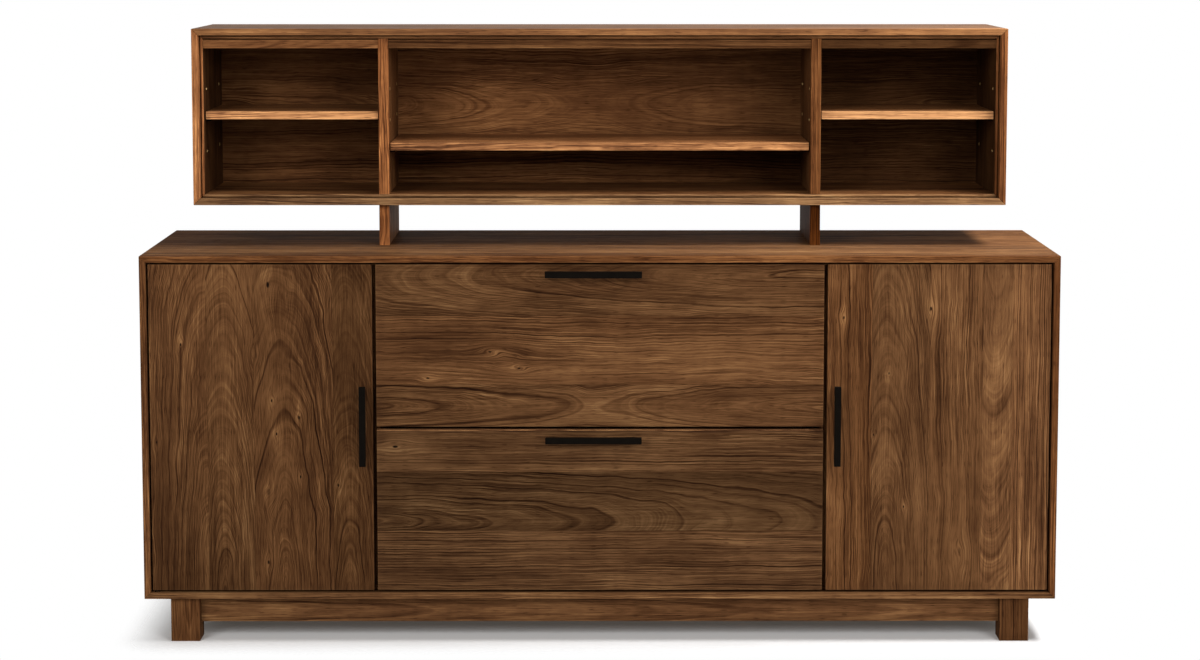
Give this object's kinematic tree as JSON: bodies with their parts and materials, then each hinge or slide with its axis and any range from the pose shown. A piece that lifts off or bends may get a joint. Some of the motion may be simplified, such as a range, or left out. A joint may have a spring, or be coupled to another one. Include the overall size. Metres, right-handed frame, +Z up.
{
  "type": "office credenza",
  "caption": "Walnut office credenza with end cupboards and wide file drawers inset behind a mitred front lip, on a low legged base, with an open shelf hutch raised over its back on uprights.",
  "frame": {"origin": "on the floor, under the middle of the bounding box", "axes": "+X to the right along the width, -Y out of the front, +Z up"},
  "size_m": [1.8288, 0.532, 1.2265],
  "materials": {
    "walnut": "oiled walnut, satin, with eased edges",
    "walnut_front": "oiled walnut staves edge-glued into a front, satin",
    "walnut_panel": "walnut veneered panel, satin",
    "drawer_wood": "clear-finished pale hardwood",
    "black_metal": "matte black coating",
    "steel": "zinc-plated steel"
  },
  "bodies": {
    "carcass": {"left_front_leg": "walnut", "left_rear_leg": "walnut", "left_base_rail": "walnut", "right_front_leg": "walnut", "right_rear_leg": "walnut", "right_base_rail": "walnut", "front_apron": "walnut", "rear_apron": "walnut", "case_top": "walnut", "case_bottom": "walnut", "case_left_side": "walnut", "case_right_side": "walnut", "case_back": "walnut_panel", "left_partition": "walnut", "right_partition": "walnut", "left_cupboard_shelf": "walnut", "right_cupboard_shelf": "walnut", "left_lower_pivot": "steel", "left_upper_pivot": "steel", "right_lower_pivot": "steel", "right_upper_pivot": "steel", "lower_left_cabinet_slide": "steel", "lower_right_cabinet_slide": "steel", "upper_left_cabinet_slide": "steel", "upper_right_cabinet_slide": "steel", "hutch_top": "walnut", "hutch_bottom": "walnut", "hutch_left_side": "walnut", "hutch_right_side": "walnut", "hutch_back": "walnut_panel", "left_upright": "walnut", "right_upright": "walnut", "left_divider": "walnut", "right_divider": "walnut", "left_hutch_shelf": "walnut", "right_hutch_shelf": "walnut", "centre_hutch_shelf": "walnut", "left_top_rail": "walnut", "right_top_rail": "walnut", "centre_top_rail": "walnut"},
    "left_door": {"left_door": "walnut_front", "left_door_pull": "black_metal"},
    "right_door": {"right_door": "walnut_front", "right_door_pull": "black_metal"},
    "lower_drawer": {"lower_drawer_front": "walnut_front", "lower_drawer_pull": "black_metal", "lower_drawer_box": "drawer_wood", "lower_file_frame": "steel", "lower_left_drawer_slide": "steel", "lower_right_drawer_slide": "steel"},
    "upper_drawer": {"upper_drawer_front": "walnut_front", "upper_drawer_pull": "black_metal", "upper_drawer_box": "drawer_wood", "upper_file_frame": "steel", "upper_left_drawer_slide": "steel", "upper_right_drawer_slide": "steel"},
    "lower_middle_slides": {"lower_left_middle_slide": "steel", "lower_right_middle_slide": "steel"},
    "upper_middle_slides": {"upper_left_middle_slide": "steel", "upper_right_middle_slide": "steel"}
  },
  "joints": [
    {"name": "left_door_swing", "type": "hinge", "parent": "carcass", "child": "left_door", "pos_m": [-0.8907, -0.229, 0.436], "axis": [0, 0, -1], "range_deg": [0, 95]},
    {"name": "right_door_swing", "type": "hinge", "parent": "carcass", "child": "right_door", "pos_m": [0.8907, -0.229, 0.436], "axis": [0, 0, 1], "range_deg": [0, 95]},
    {"name": "lower_drawer_travel", "type": "slide", "parent": "carcass", "child": "lower_drawer", "axis": [0, -1, 0], "range_m": [0, 0.42]},
    {"name": "upper_drawer_travel", "type": "slide", "parent": "carcass", "child": "upper_drawer", "axis": [0, -1, 0], "range_m": [0, 0.42]},
    {"name": "lower_middle_travel", "type": "slide", "parent": "carcass", "child": "lower_middle_slides", "axis": [0, -1, 0], "range_m": [0, 0.21]},
    {"name": "upper_middle_travel", "type": "slide", "parent": "carcass", "child": "upper_middle_slides", "axis": [0, -1, 0], "range_m": [0, 0.21]}
  ],
  "couplings": [
    {"joint": "lower_middle_travel", "follows": "lower_drawer_travel", "ratio": 0.5},
    {"joint": "upper_middle_travel", "follows": "upper_drawer_travel", "ratio": 0.5}
  ]
}
